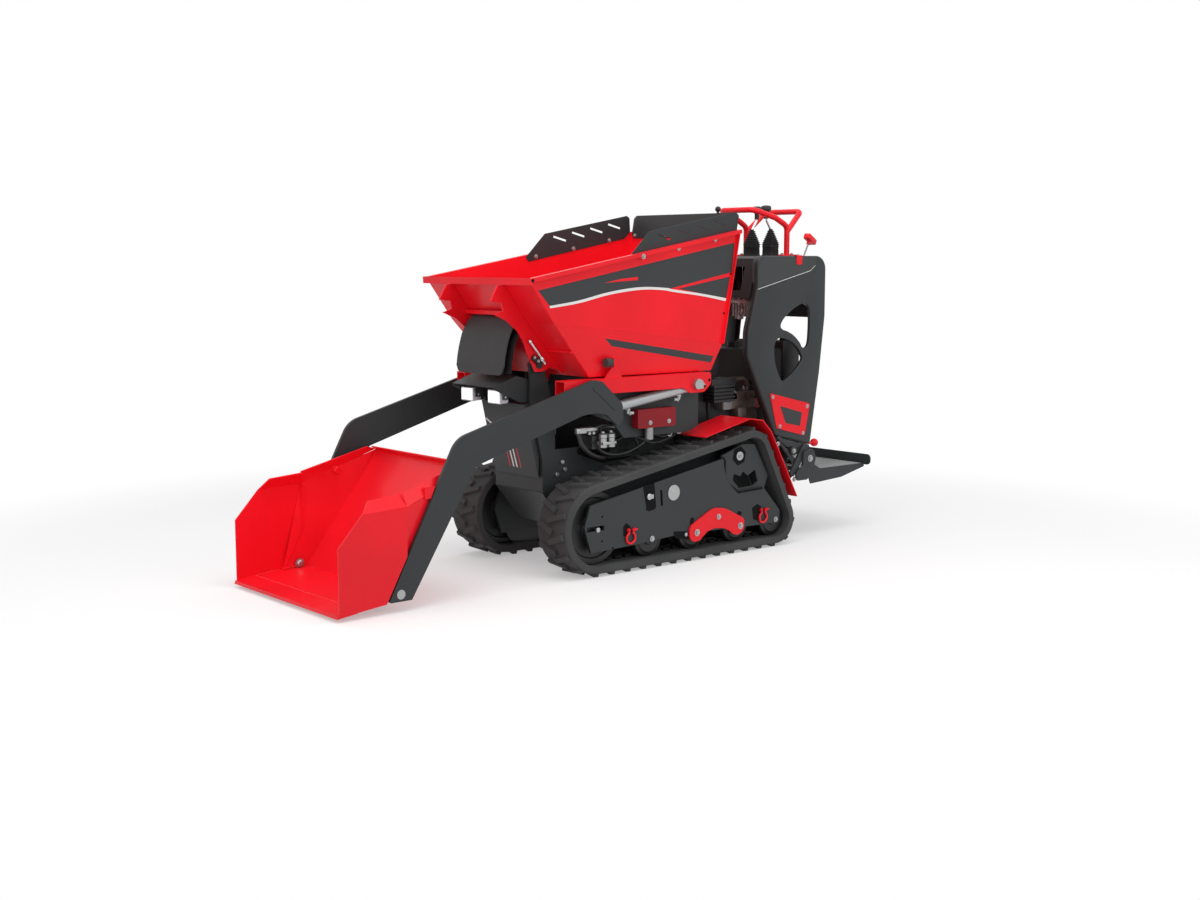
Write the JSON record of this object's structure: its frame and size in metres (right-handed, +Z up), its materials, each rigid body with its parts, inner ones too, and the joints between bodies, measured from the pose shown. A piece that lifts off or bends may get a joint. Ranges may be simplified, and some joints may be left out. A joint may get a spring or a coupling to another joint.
{
  "type": "tracked site dumper",
  "caption": "Compact tracked dumper with a self-loading front bucket, a forward-tipping hopper, a rear control column and a fold-down operator platform.",
  "frame": {"origin": "on the ground under the middle of the machine's overall length and width", "axes": "+X towards the bucket, +Y to the machine's left, +Z up"},
  "size_m": [2.94, 0.7808, 1.515],
  "materials": {
    "red": "gloss",
    "dark": "satin",
    "rubber": "matte",
    "casting": "satin",
    "engine_metal": "satin",
    "black_plastic": "matte",
    "rod_chrome": "polished",
    "lamp": "gloss"
  },
  "bodies": {
    "chassis": {"main_frame": "dark", "outrigger_left": "dark", "outrigger_right": "dark", "valve_cover": "red", "oil_filter": "engine_metal", "spool_valve": "engine_metal", "side_rail_left": "red", "side_rail_right": "red", "arm_buffer_left": "rubber", "arm_buffer_right": "rubber", "hood": "dark", "lamp_bracket": "dark", "track_left": "rubber", "track_right": "rubber", "undercarriage_left": "dark", "undercarriage_right": "dark", "rollers_left": "casting", "rollers_right": "casting", "drive_sprocket_left": "casting", "drive_sprocket_right": "casting", "rocker_plate_left": "red", "rocker_plate_right": "red", "fender_left": "red", "fender_right": "red", "engine_block": "engine_metal", "air_cleaner": "black_plastic", "muffler": "engine_metal", "fuel_tank": "black_plastic", "column_side_left": "dark", "column_side_right": "dark", "console": "dark", "column_shelves": "dark", "control_valve": "engine_metal", "control_lever_left": "black_plastic", "control_lever_right": "black_plastic", "latch_knob": "black_plastic", "grab_bars": "red", "rear_bracket": "dark"},
    "loader": {"loader_arm_left": "dark", "loader_arm_right": "dark", "bucket": "red"},
    "lift_barrel_left": {"lift_barrel_left": "dark"},
    "lift_barrel_right": {"lift_barrel_right": "dark"},
    "lift_rod_left": {"lift_rod_left": "rod_chrome"},
    "lift_rod_right": {"lift_rod_right": "rod_chrome"},
    "hopper": {"hopper": "red", "hopper_ribs": "red", "hopper_panel_left": "dark", "hopper_panel_right": "dark", "hopper_panel_rear": "dark", "rubber_apron": "rubber"},
    "tip_barrel": {"tip_barrel": "dark"},
    "tip_rod": {"tip_rod": "rod_chrome"},
    "platform": {"platform": "dark"},
    "work_lamp_left": {"work_lamp_left": "lamp"},
    "work_lamp_right": {"work_lamp_right": "lamp"}
  },
  "joints": [
    {"name": "arm_lift", "type": "hinge", "parent": "chassis", "child": "loader", "pos_m": [0.26, 0, 0.748], "axis": [0, 1, 0], "range_deg": [-100, 0]},
    {"name": "lift_barrel_swing_left", "type": "hinge", "parent": "chassis", "child": "lift_barrel_left", "pos_m": [-0.282, 0.336, 0.736], "axis": [0, 1, 0], "range_deg": [-2.1, 0.1]},
    {"name": "lift_rod_slide_left", "type": "slide", "parent": "lift_barrel_left", "child": "lift_rod_left", "axis": [0.9899, 0, -0.1417], "range_m": [0, 0.1866]},
    {"name": "lift_barrel_swing_right", "type": "hinge", "parent": "chassis", "child": "lift_barrel_right", "pos_m": [-0.282, -0.336, 0.736], "axis": [0, 1, 0], "range_deg": [-2.1, 0.1]},
    {"name": "lift_rod_slide_right", "type": "slide", "parent": "lift_barrel_right", "child": "lift_rod_right", "axis": [0.9899, 0, -0.1417], "range_m": [0, 0.1866]},
    {"name": "hopper_tip", "type": "hinge", "parent": "chassis", "child": "hopper", "pos_m": [0.405, 0, 0.85], "axis": [0, 1, 0], "range_deg": [0, 85], "deforming": ["rubber_apron"]},
    {"name": "tip_barrel_swing", "type": "hinge", "parent": "chassis", "child": "tip_barrel", "pos_m": [0.28, 0, 0.38], "axis": [0, 1, 0], "range_deg": [-0.1, 3.5]},
    {"name": "tip_rod_slide", "type": "slide", "parent": "tip_barrel", "child": "tip_rod", "axis": [-0.0267, 0, 0.9996], "range_m": [0, 0.2225]},
    {"name": "platform_fold", "type": "hinge", "parent": "chassis", "child": "platform", "pos_m": [-1.074, 0, 0.361], "axis": [0, 1, 0], "range_deg": [0, 75]},
    {"name": "lamp_tilt_left", "type": "hinge", "parent": "chassis", "child": "work_lamp_left", "pos_m": [0.545, 0.092, 0.725], "axis": [0, 1, 0], "range_deg": [-20, 25]},
    {"name": "lamp_tilt_right", "type": "hinge", "parent": "chassis", "child": "work_lamp_right", "pos_m": [0.545, -0.092, 0.725], "axis": [0, 1, 0], "range_deg": [-20, 25]}
  ],
  "couplings": [
    {"joint": "lift_barrel_swing_left", "follows": "arm_lift", "ratio": 0.01988},
    {"joint": "lift_barrel_swing_right", "follows": "arm_lift", "ratio": 0.01988},
    {"joint": "lift_rod_slide_left", "follows": "arm_lift", "m_per_rad": -0.10627},
    {"joint": "lift_rod_slide_right", "follows": "arm_lift", "m_per_rad": -0.10627},
    {"joint": "tip_barrel_swing", "follows": "hopper_tip", "ratio": 0.03906},
    {"joint": "tip_rod_slide", "follows": "hopper_tip", "m_per_rad": 0.14924}
  ]
}
